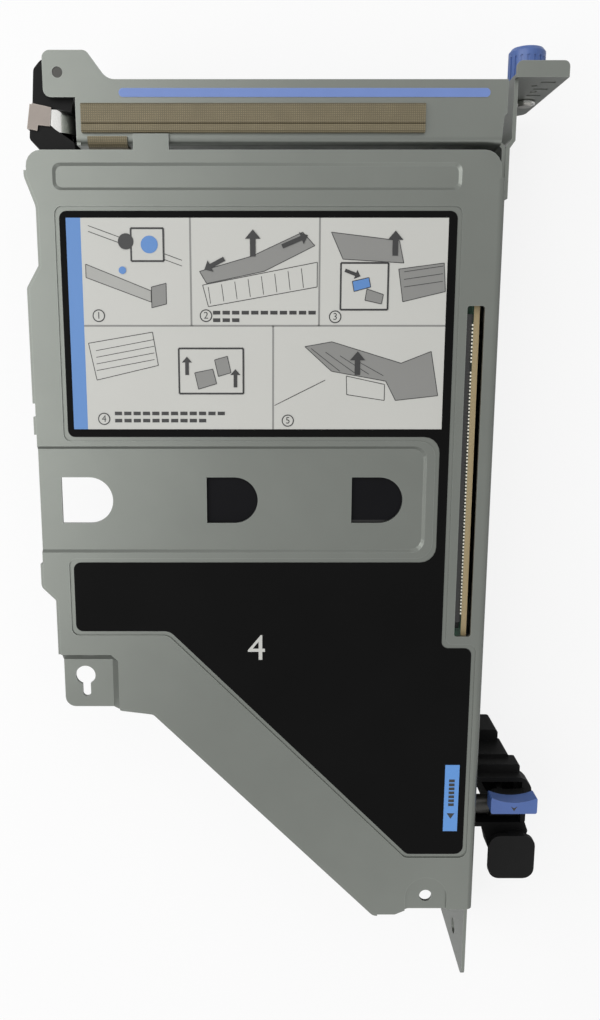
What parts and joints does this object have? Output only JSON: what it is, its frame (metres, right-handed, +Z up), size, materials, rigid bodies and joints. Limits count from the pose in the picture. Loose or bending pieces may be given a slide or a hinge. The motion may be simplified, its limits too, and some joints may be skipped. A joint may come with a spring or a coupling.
{
  "type": "riser cage bracket",
  "caption": "Folded sheet-steel riser cage for a rack server, with a vertical riser board, a hinged card latch, a captive thumbscrew and a sprung release lever.",
  "frame": {"origin": "middle of the bounding box's bottom face, on the surface that the cage stands on", "axes": "+Y along the cage towards its card brackets at the rear, +X towards the riser wall, +Z up towards the top plate"},
  "size_m": [0.1496, 0.2836, 0.0506],
  "materials": {
    "zinc_steel": "zinc-plated sheet, fine satin grain",
    "bright_steel": "bright plated spring steel",
    "clip_steel": "warm matt steel",
    "fastener_steel": "plain machine steel",
    "brass_standoff": "machined",
    "black_plastic": "moulded, fine satin",
    "slot_plastic": "moulded",
    "touch_blue": "moulded, satin",
    "touch_line": "printed line",
    "film_black": "matt printed film",
    "insulator": "thin sheet",
    "board": "glass fibre with solder mask",
    "contact": "tinned",
    "gasket": "metallised woven fabric over foam"
  },
  "bodies": {
    "cage": {"cage_shell": "zinc_steel", "ear_bracket": "zinc_steel", "ear_rivets": "fastener_steel", "emi_gasket": "gasket", "corner_gasket": "gasket", "riser_board": "board", "card_slot_upper": "slot_plastic", "card_slot_lower": "slot_plastic", "contact_leads": "contact", "board_standoffs": "brass_standoff", "board_screws": "fastener_steel", "insulator_sheet": "insulator", "label_film": "film_black", "touch_line": "touch_line", "latch_pin": "fastener_steel", "thumbscrew_ferrule": "bright_steel", "thumbscrew_spring": "fastener_steel", "lever_housing": "black_plastic", "lever_pin": "fastener_steel", "lever_boss": "fastener_steel", "lever_spring": "fastener_steel", "housing_screws": "fastener_steel"},
    "latch": {"latch_body": "black_plastic", "latch_clip": "clip_steel", "latch_spring": "bright_steel"},
    "lever": {"release_lever": "black_plastic", "lever_cap": "touch_blue"},
    "screw_carrier": {"thumbscrew_clip": "bright_steel"},
    "thumbscrew": {"thumbscrew_knob": "touch_blue", "thumbscrew_screw": "fastener_steel"}
  },
  "joints": [
    {"name": "latch_hinge", "type": "hinge", "parent": "cage", "child": "latch", "pos_m": [-0.0643, 0.1291, 0.025], "axis": [0, 0, -1], "range_deg": [0, 80]},
    {"name": "lever_hinge", "type": "hinge", "parent": "cage", "child": "lever", "pos_m": [0.066, -0.0868, 0.033], "axis": [1, 0, 0], "range_deg": [0, 12], "stiffness_Nm_per_rad": 0.12, "springref_deg": -8.59},
    {"name": "thumbscrew_push", "type": "slide", "parent": "cage", "child": "screw_carrier", "axis": [0, -1, 0], "range_m": [0, 0.0032], "stiffness_N_per_m": 120, "springref_m": -0.0005, "deforming": ["thumbscrew_spring"]},
    {"name": "thumbscrew_turn", "type": "hinge", "parent": "screw_carrier", "child": "thumbscrew", "pos_m": [0.0648, 0.1312, 0.0228], "axis": [0, 1, 0], "continuous": true}
  ]
}
